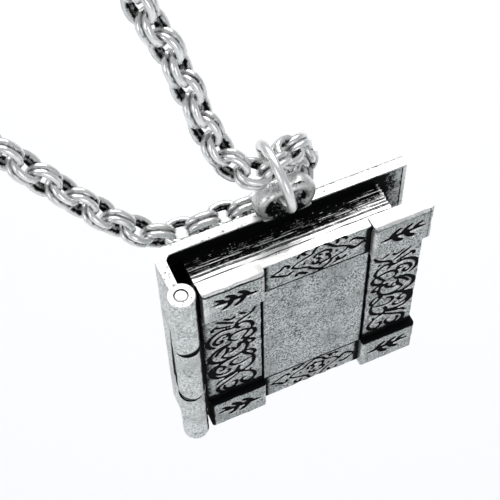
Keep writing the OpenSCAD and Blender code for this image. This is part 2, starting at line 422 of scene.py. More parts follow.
def silver(name, tint, grain=6500.0, speckle=0.3, pits=0.2, stain=0.22, polish=0.3, share=1.0,
           bump=0.012):
    """A silver material, aged and with painted light. tint is its bright colour, grain its grains
    per metre, share how metallic it is and bump the bump's height in mm. The others run from 0 to 1."""
    made = bpy.data.materials.new(name)
    made.use_nodes = True
    tree = made.node_tree
    shader = tree.nodes["Principled BSDF"]
    group = tree.nodes.new("ShaderNodeGroup")
    group.node_tree = aged
    patina = put(tree, "ShaderNodeAttribute", attribute_name="patina", out="Fac")
    tree.links.new(patina, group.inputs["Patina and painted light"])
    for key, value in (("Silver", (*tint, 1)), ("Grain per m", grain), ("Speckle", speckle),
                       ("Pits", pits), ("Stain", stain), ("Polish", polish),
                       ("Metal share", share)):
        group.inputs[key].default_value = value
    relief = put(tree, "ShaderNodeBump", {"Height": group.outputs["Height"], "Distance": bump * MM,
                                          "Strength": 1.0}, out="Normal")
    tree.links.new(group.outputs["Color"], shader.inputs["Base Color"])
    tree.links.new(relief, shader.inputs["Normal"])
    for key in ("Roughness", "Metallic"):
        tree.links.new(group.outputs[key], shader.inputs[key])
    shader.inputs["Specular IOR Level"].default_value = 0.05
    layout(tree)
    return made


print("material function ready")

# %% Six metals
cover_metal = silver("cover silver", (0.58, 0.615, 0.61), grain=5000, speckle=0.8, pits=0.15,
                     stain=0.38, polish=0.36, bump=0.03)
wall_metal = silver("spine silver", (0.82, 0.85, 0.84), grain=4200, speckle=0.5, pits=0.7,
                    stain=0.4, polish=0.34, share=0.8, bump=0.03)
page_metal = silver("page edges", (0.92, 0.92, 0.9), speckle=0.25, pits=0.3, share=0.7,
                    bump=0.015)
loop_metal = silver("cast loop", (0.95, 0.95, 0.93), grain=3600, speckle=0.4, pits=0.6,
                    polish=0.22, share=0.95, bump=0.08)
wire_metal = silver("bright wire", (0.97, 0.97, 0.96), grain=2500, speckle=0.05, pits=0.08,
                    polish=0.24, share=0.8, bump=0.015)
chain_metal = silver("chain wire", (0.98, 0.99, 0.98), grain=2500, speckle=0.05, pits=0.1,
                     polish=0.22, share=0.85)
print("materials", len(bpy.data.materials))

# %% [markdown]
# ## Tiles of the front cover
#
# The cover reads as tiles: four raised corner plates, two columns of scrolls, two bands and a
# plain panel. Each tile is a closed block with a dense grid on its front, so that real grooves
# can be cut into it later, and its rim is rounded as a casting's is.

# %% Positions and waves over a grid


def spread(low, high, step, rim):
    """Positions from low to high: close together along the rim and step apart between."""
    near = np.array([0.0, 0.15, 0.4, 0.7, 1.0]) * rim
    count = max(2, int(round((high - low - 2 * rim) / step)) + 1)
    middle = np.linspace(low + rim, high - rim, count)
    return np.concatenate([low + near[:-1], middle, (high - near[:-1])[::-1]])


def waver_2d(x, z, seed):
    """Smooth random numbers from -1 to 1 over a face, from a few crossed waves."""
    rng = np.random.default_rng(seed)
    total = np.zeros_like(x, float)
    for _ in range(7):
        fx, fz = rng.uniform(-4.5, 4.5, 2)
        total += np.sin(fx * x + fz * z + rng.uniform(0, 6.3))
    return total / 4


print("rim rows", spread(0, 1, 0.1, 0.15).round(2)[:5])

# %% A block with a grid front and a rounded rim


def tile(x0, x1, z0, z1, y_front, y_back, step=0.08, rim=0.15, wall_dark=(0, 0, 0, 0),
         worn=0.0, edge_waver=0.0, lightening=0.0):
    """Points, faces and patina with painted light of one tile. wall_dark blackens its left, right,
    lower and upper walls, each from 0 to 1. worn varies the rim's radius, edge_waver bends the
    outline in mm, and lightening paints a highlight along the rim, which is kept as a negative
    value.
    A last row just inside the outline keeps the back clean."""
    xs = spread(x0, x1, step, rim)
    zs = spread(z0, z1, step, rim)
    nx, nz = len(xs), len(zs)
    gx, gz = np.meshgrid(xs, zs)
    inside = np.minimum(np.minimum(gx - x0, x1 - gx), np.minimum(gz - z0, z1 - gz))
    uneven = waver_2d(gx, gz, int(10 * x0 + z0 + 90))
    radius = rim * (1 + worn * uneven)
    drop = radius - np.sqrt(np.maximum(radius ** 2 - np.maximum(radius - inside, 0) ** 2, 0))
    bend = edge_waver * waver_2d(gx, gz, int(10 * x0 + z0 + 7)) * smooth_step(1 - inside / 0.5)
    front = np.stack([gx + bend, y_front + drop, gz + bend], -1).reshape(-1, 3)
    grid = np.arange(nx * nz).reshape(nz, nx)
    faces = np.stack([grid[:-1, :-1], grid[:-1, 1:], grid[1:, 1:], grid[1:, :-1]], -1)
    faces = faces.reshape(-1, 4).tolist()
    outline = np.concatenate([grid[0, :], grid[1:, -1], grid[-1, -2::-1], grid[-2:0:-1, 0]])
    n = len(outline)
    dark = np.array(wall_dark, float)[np.repeat([2, 1, 3, 0], [nx, nz - 1, nx - 1, nz - 2])]
    # A painted highlight along the rounded rim, uneven along the outline
    edge_highlight = smooth_step(1 - inside / (1.5 * rim)) * np.clip(0.7 + 0.5 * uneven, 0, 1)
    points, patina = [front], [-lightening * edge_highlight.ravel()]
    for share in (0.35, 1.0):
        ring = front[outline]
        ring[:, 1] = ring[:, 1] + (y_back - ring[:, 1]) * share
        points.append(ring)
        patina.append(dark)
    middle = np.array([(x0 + x1) / 2, y_back, (z0 + z1) / 2])
    points.append(middle + 0.9 * (points[-1] - middle))
    patina.append(np.zeros(n))
    rows = [outline] + [len(front) + np.arange(k * n, k * n + n) for k in range(3)]
    for a, b in zip(rows[:-1], rows[1:]):
        faces += np.stack([a, b, np.roll(b, -1), np.roll(a, -1)], 1).tolist()
    faces.append(rows[-1].tolist())
    return np.concatenate(points), faces, np.concatenate(patina)


def join_parts(parts):
    """Several (points, faces, patina) into one."""
    points, faces, patina, used = [], [], [], 0
    for p, f, d in parts:
        points.append(p)
        patina.append(d)
        faces += [[i + used for i in face] for face in f]
        used += len(p)
    return np.concatenate(points), faces, np.concatenate(patina)


print("points of a small tile", len(tile(0, 1, 0, 1, 0, 1)[0]))

# %% [markdown]
# ## The engraved drawing
#
# A graver leaves a groove that swells and thins, so each line is a strip of quads whose width
# follows the stroke. The strips lie flat on the face that they are cut into. The scrolls are the
# traditional kind: a stem with curls on its outer side and leaf loops on its inner side.

# %% Strokes of the column, the band and the corner sprig


def strokes(*rows):
    """Strokes from rows of numbers: a width, then the x and z of each knot, all in mm."""
    return [(row[0], np.reshape(row[1:], (-1, 2))) for row in rows]


COLUMN = strokes(
    (0.24, 3.4, 17.7, 3.55, 18.35, 4, 18.7, 4.65, 19, 5.2, 19.4, 5.5, 20.05),
    (0.22, 3.85, 19.95, 4.2, 19.65, 4.55, 19.45), (0.26, 1.35, 19.8, 2.2, 19.2, 3.2, 18.5),
    (0.24, 2.2, 19.85, 2.75, 19.45, 3.2, 19.4, 3.35, 19.75),
    (0.26, 1.45, 18.9, 1, 18.65, 0.95, 18.15), (0.24, 1.2, 18.75, 1.9, 18.45, 2.9, 18.1),
    (0.34, 3.3, 17.55, 2, 17.85, 1.1, 17.5, 0.5, 16.85, 0.35, 16.2, 0.6, 15.5, 1.15, 15),
    (0.26, 2, 16.5, 2.3, 16.4, 2.65, 16.6, 2.55, 16.9, 1.9, 16.95, 1.25, 16.55, 1.05, 16, 1.4,
     15.55, 1.85, 15.65, 1.9, 16.05, 1.6, 16.1),
    (0.28, 3.3, 17.7, 4.1, 18.05, 4.9, 17.65, 5.2, 16.95, 5.1, 16.45), (0.26, 3.2, 17.9, 3.9, 17.1),
    (0.26, 3.5, 15, 2.95, 15.3, 2.65, 15.8, 2.95, 16.35, 3.65, 16.6, 4.45, 16.5, 4.8, 16.2, 4.5,
     15.75, 4, 15.1), (0.3, 4.8, 16.4, 5.35, 16, 5.4, 15.4, 5, 14.95, 4.45, 14.85, 3.9, 15.1),
    (0.36, 2.9, 14.95, 1.55, 14.6, 0.75, 13.9, 0.42, 13.2, 0.7, 12.45, 1.35, 12, 2.2, 11.85, 3.2,
     12.05, 4.1, 12.5), (0.24, 2.7, 14.7, 1.9, 14.3, 1.35, 13.8, 1.05, 13.25),
    (0.26, 1.65, 12.8, 2.4, 12.25, 3.3, 12.15, 4.2, 12.55, 4.55, 13.2, 4.45, 13.9, 4, 14.4),
    (0.26, 2.45, 14.3, 2.3, 13.5, 1.75, 12.85),
    (0.2, 2.35, 13.8, 2.8, 13.95, 3.15, 13.55, 2.85, 13.2, 2.45, 13.35),
    (0.3, 3.6, 14.5, 3.7, 13.9, 3.2, 13.3), (0.34, 3.6, 14.4, 4.1, 14.25, 4.5, 14),
    (0.26, 4.1, 14.55, 4.9, 14.35, 5.3, 13.9, 4.95, 13.6, 4.5, 13.5),
    (0.26, 3.9, 12.2, 4.7, 12.3, 5.2, 11.9, 5.35, 11.35, 5, 11),
    (0.28, 3.95, 12.4, 4.5, 11.6, 5.1, 11),
    (0.36, 2.2, 11.75, 1.3, 11.4, 0.6, 11.1, 0.38, 10.4, 0.6, 9.55, 1.2, 8.85, 2.2, 8.7, 3.3, 9),
    (0.26, 2.2, 9.95, 2.55, 9.85, 2.4, 9.45, 1.8, 9.3, 1.15, 9.6, 0.8, 10.2, 1, 10.8, 1.5, 11, 2,
     10.6, 1.75, 10.15, 1.4, 10.25),
    (0.28, 3.55, 11.55, 2.95, 11.3, 2.65, 10.9, 2.95, 10.4, 3.65, 10.25, 4.9, 10.6),
    (0.28, 5.05, 11.1, 5.25, 10.2, 5, 9.3, 4.3, 8.75, 3.5, 8.5),
    (0.34, 3.65, 9.85, 3.4, 9.3, 3.5, 8.7, 4.1, 8.2),
    (0.26, 3.4, 8.75, 2.2, 8.25, 1.4, 8, 0.95, 7.5),
    (0.3, 3.6, 8.4, 2.2, 7.5, 1.3, 7, 1.05, 6.4, 1.4, 5.8, 2.2, 5.4, 3, 5.25),
    (0.28, 3.9, 8.4, 4.9, 7.7, 5.3, 6.9, 5.1, 6.2, 4.4, 5.95, 3.8, 6.3, 3.85, 6.85, 4.3, 6.9),
    (0.24, 1.9, 6.9, 1.8, 6.3, 2.4, 5.85, 3.1, 6.2, 3.2, 6.9, 2.7, 7), (0.32, 4.75, 18.42, 5, 18.4),
    (0.28, 4.75, 8.25, 4.95, 8.2), (0.2, 2.35, 5, 3, 5),)
BAND = strokes(
    (0.22, 9.4, 23.95, 9.9, 24.35, 11.1, 24.85, 11.55, 25.05, 11.8, 25.6, 12.35, 26, 13, 25.75,
     13.5, 25.25, 13.9, 24.85, 14.7, 24.4, 15.4, 24),
    (0.22, 9.4, 23.95, 10, 23.5, 11.1, 23.05, 11.45, 22.6, 12.2, 22.15, 12.5, 22, 13.3, 22.4,
     13.65, 22.95, 14.2, 23.2, 14.9, 23.4, 15.4, 24),
    (0.22, 11.75, 24.15, 11.85, 24.55, 12.4, 24.8, 13.1, 24.75, 13.5, 24.4, 13.4, 24.05, 12.95,
     24.2),
    (0.22, 11.6, 23.75, 11.65, 23.3, 12.2, 23.05, 12.9, 23.05, 13.4, 23.3, 13.35, 23.75, 12.95,
     23.9), (0.2, 12, 24.1, 12.45, 23.6), (0.2, 12.2, 24.4, 12.6, 24.35),
    (0.2, 12, 23.45, 12.3, 23.35), (0.34, 10.6, 23.87, 10.8, 23.87), (0.34, 14, 24, 14.2, 24),
    (0.26, 12.45, 25.35, 12.55, 25.25), (0.28, 12.4, 22.8, 12.5, 22.7),
    (0.22, 10.05, 25.05, 10.1, 25.5, 10.5, 25.75, 11.15, 25.85), (0.24, 10.35, 25.75, 10.9, 25.2),
    (0.22, 13.9, 25.9, 14.5, 25.9, 15, 25.65, 15.1, 25.3), (0.24, 14.2, 25.85, 14.1, 25.2),
    (0.26, 9.9, 22.15, 10, 22.6, 10.6, 22.55), (0.3, 10.2, 22.55, 11.1, 22.05),
    (0.24, 15.1, 22.75, 14.95, 22.4, 14.3, 22.3, 13.75, 22.15), (0.3, 14.15, 22.85, 14.4, 22.35),
    (0.22, 7.2, 23.85, 8.1, 24.2, 8.65, 24.7, 9.1, 24.4, 9, 24.1),
    (0.22, 7.2, 23.85, 8.1, 23.35, 9, 22.95, 9.3, 23.2, 9.6, 23.3),
    (0.26, 17.1, 24.2, 16, 24.9, 15.4, 24.65),
    (0.3, 17.1, 23.95, 16.1, 23.35, 15.6, 23.7, 15.3, 24.1),)
SPRIG = strokes(
    (0.3, -1.9, -0.1, -0.4, 0.05, 1.9, 0.1), (0.34, -1.2, 0, -0.8, 0.5, -0.3, 0.85),
    (0.34, -0.2, 0.05, 0.2, 0.55, 0.7, 0.85), (0.3, 0.8, 0.1, 1.15, 0.5, 1.6, 0.7),
    (0.34, -0.9, -0.05, -0.5, -0.55, 0, -0.85), (0.34, 0.1, 0.05, 0.5, -0.5, 1, -0.75),)
print("strokes", len(COLUMN), len(BAND), len(SPRIG))

# %% Strokes as flat strips


def smooth_line(knots, per_span):
    """Points of a smooth curve through the knots."""
    k = np.asarray(knots, float)
    k = np.vstack([2 * k[0] - k[1], k, 2 * k[-1] - k[-2]])
    t = (np.arange(per_span) / per_span)[:, None]
    out = []
    for a, b, c, d in zip(k[:-3], k[1:-2], k[2:-1], k[3:]):
        out.append(0.5 * (2 * b + (c - a) * t + (2 * a - 5 * b + 4 * c - d) * t ** 2
                          + (3 * b - a - 3 * c + d) * t ** 3))
    return np.vstack(out + [k[-2:-1]])


def drawing(name, lines, y):
    """All strokes as flat strips at the depth y, in one mesh that is only a pattern to cut by."""
    points, faces, used = [], [], 0
    for width, knots in lines:
        line = smooth_line(knots, 5)
        n = len(line)
        ahead = np.gradient(line, axis=0)
        ahead /= np.linalg.norm(ahead, axis=1)[:, None]
        swell = 0.55 + 0.45 * np.sin(np.pi * np.linspace(0, 1, n)) ** 0.5
        aside = 0.5 * width * swell[:, None] * np.stack([-ahead[:, 1], ahead[:, 0]], 1)
        flat = np.vstack([line + aside, line - aside])
        points.append(np.stack([flat[:, 0], np.full(2 * n, y), flat[:, 1]], 1))
        faces += [[used + i for i in (k, k + 1, n + k + 1, n + k)] for k in range(n - 1)]
        used += 2 * n
    mesh = bpy.data.meshes.new(name)
    mesh.from_pydata([tuple(q) for q in in_frame(np.vstack(points))], [], faces)
    return add_object(name, mesh)


def mirrored(lines, axis, total):
    """The strokes with one coordinate turned round, so that low and high change places."""
    turned = []
    for width, knots in lines:
        knots = np.array(knots)
        knots[:, axis] = total - knots[:, axis]
        turned.append((width, knots))
    return turned


def widened(lines, extra):
    """The strokes, each wider by so many mm."""
    return [(width + extra, knots) for width, knots in lines]


print("most knots in a stroke", max(len(knots) for _, knots in COLUMN))

# %% [markdown]
# ## Cutting the grooves with Geometry Nodes
#
# The tree measures how far each point of a tile is from the drawing. Points on a stroke sink by
# the groove's depth, points just beside it sink less, and the same number is kept as patina,
# because the black stays in the groove. The metal along its edge gets a painted highlight. The
# patina is stored before the points move, as a distance measured afterwards would be the groove's
# depth.
# A bump map could fake the lines, but then the mesh itself would have none.

# %% The engraving tree
OBJECT, GEOMETRY, MATERIAL = "NodeSocketObject", "NodeSocketGeometry", "NodeSocketMaterial"
engrave, given, results = new_group(
    "engrave", "GeometryNodeTree",
    [("Geometry", GEOMETRY, None), ("Drawing", OBJECT, None), ("Depth", FLOAT, 0.0002),
     ("Edge", FLOAT, 0.0001), ("Edge highlight", FLOAT, 0.25), ("Metal", MATERIAL, None)],
    [("Geometry", GEOMETRY, None)])
plus, minus, times, larger = sums(engrave)
lines = put(engrave, "GeometryNodeObjectInfo", {"Object": given["Drawing"]}, out="Geometry",
            transform_space="ORIGINAL")
away = put(engrave, "GeometryNodeProximity", {0: lines}, out="Distance", target_element="FACES")
cut = ramp(engrave, away, 0.0, given["Edge"], 1.0, 0.0, interpolation_type="SMOOTHSTEP")
# A painted highlight on the metal just beside each groove, kept as a negative value
edge_highlight = ramp(engrave, away, given["Edge"], times(given["Edge"], 2.6), given["Edge highlight"], 0.0)
edge_highlight = times(edge_highlight, minus(1.0, cut))
old = put(engrave, "GeometryNodeInputNamedAttribute", {"Name": "patina"}, out="Attribute",
          data_type="FLOAT")
kept = keep_patina_and_painted_light(engrave, given["Geometry"], minus(plus(old, cut), edge_highlight))
sink = put(engrave, "ShaderNodeCombineXYZ", {"Y": times(cut, given["Depth"])})
moved = put(engrave, "GeometryNodeSetPosition", {"Geometry": kept, "Offset": sink})
end_tree(engrave, moved, given["Metal"], results["Geometry"])
print("engraving inputs", [s.name for s in given if s.name])

# %% Run a tree and keep the mesh


def run_nodes(obj, tree, values):
    """Runs a tree on obj with those inputs. obj goes, and the result is given as a plain mesh."""
    step = obj.modifiers.new(tree.name, "NODES")
    step.node_group = tree
    codes = {s.name: s.identifier for s in tree.interface.items_tree if s.in_out == "INPUT"}
    for name, value in values.items():
        step[codes[name]] = value
    bpy.context.view_layer.update()
    graph = bpy.context.evaluated_depsgraph_get()
    mesh = bpy.data.meshes.new_from_object(obj.evaluated_get(graph))
    bpy.data.objects.remove(obj)
    return mesh


def engraved(name, part, lines, y, depth=0.15, edge=0.09):
    """A tile with the strokes cut into its front at the depth y. Sizes in mm."""
    points, faces, patina = part
    blank = new_object(name + "_blank", in_frame(points), faces)
    store(blank, patina)
    pattern = drawing(name + "_drawing", lines, y)
    mesh = run_nodes(blank, engrave, {"Drawing": pattern, "Depth": depth * MM, "Edge": edge * MM,
                                      "Edge highlight": 0.25, "Metal": cover_metal})
    bpy.data.objects.remove(pattern)
    smooth(mesh, 50)
    return add_object(name, mesh)


print("meshes so far", len(bpy.data.meshes))

# %% [markdown]
# ## The front cover
#
# The columns and bands are the tiles that carry strokes, so they get the densest grids. The
# corner plates stand higher and have a small leaf sprig each. The panel between them is plain,
# and is cut by a stroke that lies outside it, so that it gets its material the same way.

# %% Columns with scrolls
COLUMN_Y = RAISE - COLUMN_RAISE
BASE_Y = RAISE + 0.3
TILE_BACK = FRONT_T - 0.01
FINE_STEP = 0.085
SCROLL_MIRROR = 23.85
bold = widened(COLUMN, 0.1)
columns = []
for name, x0, x1, dark, lines in (
        ("column_left", 0, COLUMN_W - GROOVE, (0, 1, 0, 0), bold),
        ("column_right", COVER_W - COLUMN_W + GROOVE, COVER_W - LIP, (1, 0, 0, 0),
         mirrored(bold, 0, SCROLL_MIRROR))):
    part = tile(x0, x1, CORNER_H, COVER_H - CORNER_H, COLUMN_Y, BASE_Y, step=FINE_STEP, rim=0.08,
                wall_dark=dark, edge_waver=0.04)
    columns.append(engraved(name, part, lines, COLUMN_Y))
print("column triangles", triangles(columns[0]))

# %% Bands with a knot
BAND_X = (COLUMN_W, COVER_W - COLUMN_W)
BAND_END = 21.72
heavy = widened(BAND, 0.09)
bands = []
for name, z0, z1, lines in (("band_top", BAND_END, COVER_H - LIP, heavy),
                            ("band_low", LIP, COVER_H - BAND_END, mirrored(heavy, 1, COVER_H))):
    part = tile(*BAND_X, z0, z1, RAISE, TILE_BACK, step=FINE_STEP, rim=0.1, worn=0.4)
    bands.append(engraved(name, part, lines, RAISE, depth=0.14))
print("band triangles", triangles(bands[0]))

# %% Panel and corner plates
PANEL_TOP = 21.68
part = tile(*BAND_X, COVER_H - PANEL_TOP, PANEL_TOP, RAISE, BASE_Y, step=0.15, rim=0.06,
            wall_dark=(1, 1, 1, 1), edge_waver=0.03)
OUTSIDE = strokes((0.1, 0, 0, 0.1, 0))
panel = engraved("panel", part, OUTSIDE, RAISE)
SPRIG_SIZE = 1.25
plates = {}
for right in (0, 1):
    for top in (0, 1):
        x0 = right * (COVER_W - COLUMN_W)
        z0 = top * (COVER_H - CORNER_H)
        dark = (1 - right * (1 - top), 1 - right, top, 1 - top)
        middle = (x0 + COLUMN_W / 2, z0 + CORNER_H / 2)
        outwards = (1 if right else -1, 1)
        sprig = [(width * SPRIG_SIZE, middle + SPRIG_SIZE * knots * outwards)
                 for width, knots in widened(SPRIG, 0.06)]
        # The plates' rims get a painted highlight
        part = tile(x0, x0 + COLUMN_W, z0, z0 + CORNER_H, 0, TILE_BACK, step=0.1, rim=0.38,
                    wall_dark=dark, worn=0.2, lightening=0.8)
        plates[right, top] = engraved(f"plate_{right}{top}", part, sprig, 0.0, depth=0.2,
                                      edge=0.12)
print("plate triangles", triangles(plates[0, 0]))

# %% [markdown]
# ## Dark steps and painted shade
#
# Patina gathers where two levels meet. A number stored on each point shows this and costs no
# geometry: each tile is darkened beside the steps that it meets, by an amount that fades within
# about a millimetre. The ends of the bands get painted shade beside the corner plates, and the
# upper plates a painted shade line under their rounded top edge. The lower plates and the low band
# are duller as a whole, and the upper left plate is lighter beside the hinge.

# %% Darken the foot of each step


def set_patina_and_painted_light(obj, values):
    obj.data.attributes["patina"].data.foreach_set("value", np.asarray(values, np.float32))


def darken(obj, distance, reach, strength=1.0):
    """Raises the patina and painted light where the distance to a step, in mm, is less than reach.
    """
    add = strength * smooth_step(1 - distance / reach)
    old = patina_and_painted_light_of(obj)
    set_patina_and_painted_light(obj, np.where(add > 0, np.maximum(old, add), old))


def beside(t, whole, step):
    """The distance from the nearer of two lines: at step, and as far from the other end."""
    return np.abs(np.abs(t - whole / 2) - (step - whole / 2))


print("patina before the steps", patina_and_painted_light_of(columns[0]).mean().round(3))

# %% Steps of the columns, bands and panel
STEP_X = COVER_W - COLUMN_W
# Added to a distance, this puts a point out of every reach
FAR = 9
for column in columns:
    x, y, z = in_book(column.data).T
    darken(column, np.maximum(z - CORNER_H - 0.35, 0), 1.3)
    darken(column, COVER_H - CORNER_H - z, 0.3, 0.6)
    if column is columns[0]:
        darken(column, np.maximum(x - 0.1, 0), 0.7, 0.6)
for band in bands:
    x, y, z = in_book(band.data).T
    off_rim = FAR * np.maximum(z - COVER_H + LIP + 0.15, 0)
    if band is bands[1]:
        set_patina_and_painted_light(band, patina_and_painted_light_of(band) + 0.07)
    # Painted shade at both ends of each band, beside the raised corner plates
    darken(band, np.maximum(STEP_X - x - 0.15, 0) + off_rim, 0.9)
    darken(band, x - COLUMN_W + off_rim, 1.2, 0.9)
    darken(band, beside(z, COVER_H, BAND_END), 0.3)
x, y, z = in_book(panel.data).T
darken(panel, beside(x, COVER_W, STEP_X), 0.22)
darken(panel, beside(z, COVER_H, BAND_END), 0.16)
print("patina on the left column", patina_and_painted_light_of(columns[0]).mean().round(3))

# %% Steps of the corner plates
for (right, top), plate in plates.items():
    x, y, z = in_book(plate.data).T
    off_front = FAR * (y > 0.3)
    if not top:
        set_patina_and_painted_light(plate, patina_and_painted_light_of(plate) + 0.2)
        darken(plate, np.maximum(CORNER_H - z - 0.12, 0), 0.3)
        darken(plate, np.maximum(x - 0.1, 0), 0.35)
        darken(plate, np.abs(z - 0.32) + off_front, 0.16, 0.5)
        darken(plate, np.abs(COVER_W - 0.4 - x) + off_front, 0.14, 0.5)
    elif right:
        darken(plate, np.abs(COVER_W - 0.45 - x) + off_front, 0.15, 0.66)
        # A painted shade line under the rounded top edge
        darken(plate, np.abs(COVER_H - 0.42 - z) + off_front, 0.15, 0.6)
    else:
        # Lighter towards the hinge
        set_patina_and_painted_light(plate, patina_and_painted_light_of(plate) - 0.3 * smooth_step((2.6 - x) / 2.4))
        # A painted shade line under the rounded top edge
        darken(plate, np.abs(COVER_H - 0.36 - z + 0.04 * np.sin(2 * x)), 0.23, 0.9)
    if top:
        top_face = (z > COVER_H - 0.3) & (y > 0.5)
        set_patina_and_painted_light(plate, np.where(top_face, 0, patina_and_painted_light_of(plate)))
print("patina on a lower plate", patina_and_painted_light_of(plates[0, 0]).mean().round(3))

# %% [markdown]
# ## Base plate and knuckle
#
# The base plate closes the cover below the tiles, and the middle knuckle of the hinge grows from
# it. The real knuckles are a little dented, with a black crescent where two of them meet, which
# a plain cylinder can't show. A lathe helper turns a profile round the hinge axis into a dense
# grid that can. The same helper makes the pin and the clasp.

# %% A lathe


def lathe(profile, sides, centre):
    """A closed shell of revolution. profile lists (radius, height) round a closed outline."""
    turn = 2 * np.pi * np.arange(sides)[:, None] / sides
    r, z = np.array(profile, float).T
    points = np.stack([centre[0] + r * np.cos(turn), centre[1] + r * np.sin(turn),
                       np.tile(z, (sides, 1))], -1).reshape(-1, 3)
    return points, ring_faces(sides, len(profile))


def ring_faces(n, m):
    """Quads of a tube that closes both ways: n rings of m points."""
    grid = np.arange(n * m).reshape(n, m)
    ahead = np.roll(grid, -1, axis=0)
    quads = np.stack([grid, ahead, np.roll(ahead, -1, axis=1), np.roll(grid, -1, axis=1)], -1)
    return quads.reshape(-1, 4).tolist()


print("quads of a small tube", len(ring_faces(8, 4)))

# %% One hinge knuckle


def knuckle(z0, z1, dent, seed, edge, top_seam=(0.0, 0.0), foot_seam=(0.0, 0.0), side_lightening=0.0):
    """A slightly dented tube round the pin. dent, in mm, is added to its radius where positive
    and taken off where negative. Each seam blackens an end in a crescent, given by its height in
    mm and the angle where it is widest. side_lightening makes the side lighter, kept as a
    negative value."""
    turn = [(BARREL_R - edge * (1 - math.sin(a)), edge * (1 - math.cos(a)))
            for a in np.radians([0, 30, 60, 90])]
    rise = [(BARREL_R, edge + h) for h in (0.06, 0.12, 0.2, 0.3, 0.42)]
    half = [(BORE_R, 0.05), (BORE_R + 0.03, 0.0)] + turn + rise
    count = int((z1 - z0 - 1.5) / 0.3)
    body = np.linspace(z0 + half[-1][1], z1 - half[-1][1], count)[1:-1]
    profile = [(r, z0 + h) for r, h in half] + [(BARREL_R, z) for z in body]
    profile += [(r, z1 - h) for r, h in reversed(half)]
    points, faces = lathe(profile, 64, (HINGE_X, HINGE_Y))
    x, y, z = points.T
    outer = np.hypot(x - HINGE_X, y - HINGE_Y)
    angle = np.arctan2(y - HINGE_Y, x - HINGE_X)
    swell = dent * (0.5 + 0.5 * waver_2d(1.3 * np.cos(angle), z, seed))
    swell *= smooth_step((outer - BORE_R - 0.1) / 0.5)
    points[:, 0] += swell * np.cos(angle)
    points[:, 1] += swell * np.sin(angle)
    blotches = 0.2 * waver_2d(2.5 * np.cos(angle), 1.4 * z, seed + 40)
    below_top = smooth_step((z1 - z - 0.1) / 0.3)
    patina = np.where(outer < BORE_R + 0.02, 1.0, np.clip(1.4 * blotches, 0, 0.3) - side_lightening)
    patina *= np.where(outer > BORE_R + 0.02, below_top, 1)
    for (height, side), away in ((top_seam, z1 - z), (foot_seam, z - z0)):
        crescent = height * (0.5 + 0.5 * np.cos(angle - side)) ** 1.5
        near = smooth_step(1.5 - away / (crescent + 0.001))
        patina = np.maximum(patina, np.where(crescent > 0.02, near, 0))
    # Patina and painted shade on the side that faces the covers, in the gap beside them
    patina = np.maximum(patina, below_top * smooth_step((np.cos(angle) - 0.55) / 0.3))
    return points, faces, patina


print("knuckle points", len(knuckle(0, KNUCKLE_LEN, 0, 3, 0.1)[0]))

# %% Base plate and middle knuckle
HINGE_TOP = KNUCKLE_Z[1] + KNUCKLE_LEN
RIGHT_SIDE, LEFT_SIDE = -0.9, 2.9
INSET = 0.02
base = tile(INSET, COVER_W - LIP - INSET, LIP + INSET, COVER_H - LIP - INSET, BASE_Y - 0.03,
            FRONT_T, step=2.0, rim=0.12, wall_dark=(0.8, 0, 0, 0))
base_points, _, base_patina = base
base_patina[base_points[:, 1] < BASE_Y + 0.1] = 1.0
web = tile(HINGE_X + 0.9, 0.4, KNUCKLE_Z[1] + INSET, HINGE_TOP - INSET, 0.9, FRONT_T - INSET,
           step=1.0, rim=0.05)
web[2][:] = 1.0
middle = knuckle(KNUCKLE_Z[1], HINGE_TOP, dent=-0.05, seed=3, edge=0.1,
                 top_seam=(0.25, RIGHT_SIDE), foot_seam=(0.5, LEFT_SIDE), side_lightening=0.3)
points, faces, patina = join_parts([base, web, middle])
cover_base = new_object("cover_base", in_frame(points), faces)
finish_with(cover_base, patina, wall_metal)
print("base points", len(points))

# %% Join the front cover


def join_objects(name, members):
    """One object from several that already lie at the origin."""
    with bpy.context.temp_override(active_object=members[0], selected_objects=members,
                                   selected_editable_objects=members):
        bpy.ops.object.join()
    members[0].name = name
    members[0].data.name = name
    return members[0]


front_cover = join_objects("front_cover_cast",
                           [*columns, *bands, panel, *plates.values(), cover_base])
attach(front_cover, "cover")
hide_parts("front_cover")
print("front cover triangles", triangles(front_cover))

# %% [markdown]
# ## The back cover
#
# The back cover, the spine and two knuckles are one casting. The CAD shape is right, so a copy
# of it is welded, freed of its loop, rounded in the corner inside the spine and given rounded
# edges. Then it is cut into strips, which give the patina and the painted shade points to sit on.
# Its knuckles are drawn in a little, to lie inside new ones from the lathe.

# %% A welded copy without its loop


def section(work, axis, value, **settings):
    """Cuts the mesh in two along the plane where a book coordinate has that value."""
    spot = in_frame([value * (axis == i) for i in range(3)])
    bmesh.ops.bisect_plane(work, geom=work.verts[:] + work.edges[:] + work.faces[:], plane_co=spot,
                           plane_no=[float(axis == i) for i in range(3)], **settings)


SPINE_OUT_X, SPINE_IN_X = -2.45, -1.45
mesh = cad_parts["back_cover"].data.copy()
back_cover = add_object("back_cover_cast", mesh)
with edited(mesh) as work:
    bmesh.ops.remove_doubles(work, verts=work.verts, dist=2e-6)
    bmesh.ops.dissolve_limit(work, angle_limit=math.radians(0.5), verts=work.verts,
                             edges=work.edges)
with edited(mesh) as work:
    section(work, 2, COVER_H + 0.1, clear_outer=True)
    bmesh.ops.holes_fill(work, edges=[e for e in work.edges if e.is_boundary], sides=0)
    fold = in_frame([SPINE_IN_X, BOOK_T - BACK_T, 0.0])
    upright = [edge for edge in work.edges
               if all(math.hypot(*(v.co - Vector(fold)).xy) < 0.1 * MM for v in edge.verts)]
    bmesh.ops.bevel(work, geom=upright, offset=0.8 * MM, segments=6, profile=0.5, affect="EDGES")
    bmesh.ops.recalc_face_normals(work, faces=work.faces)
print("inner corner edges rounded", len(upright))

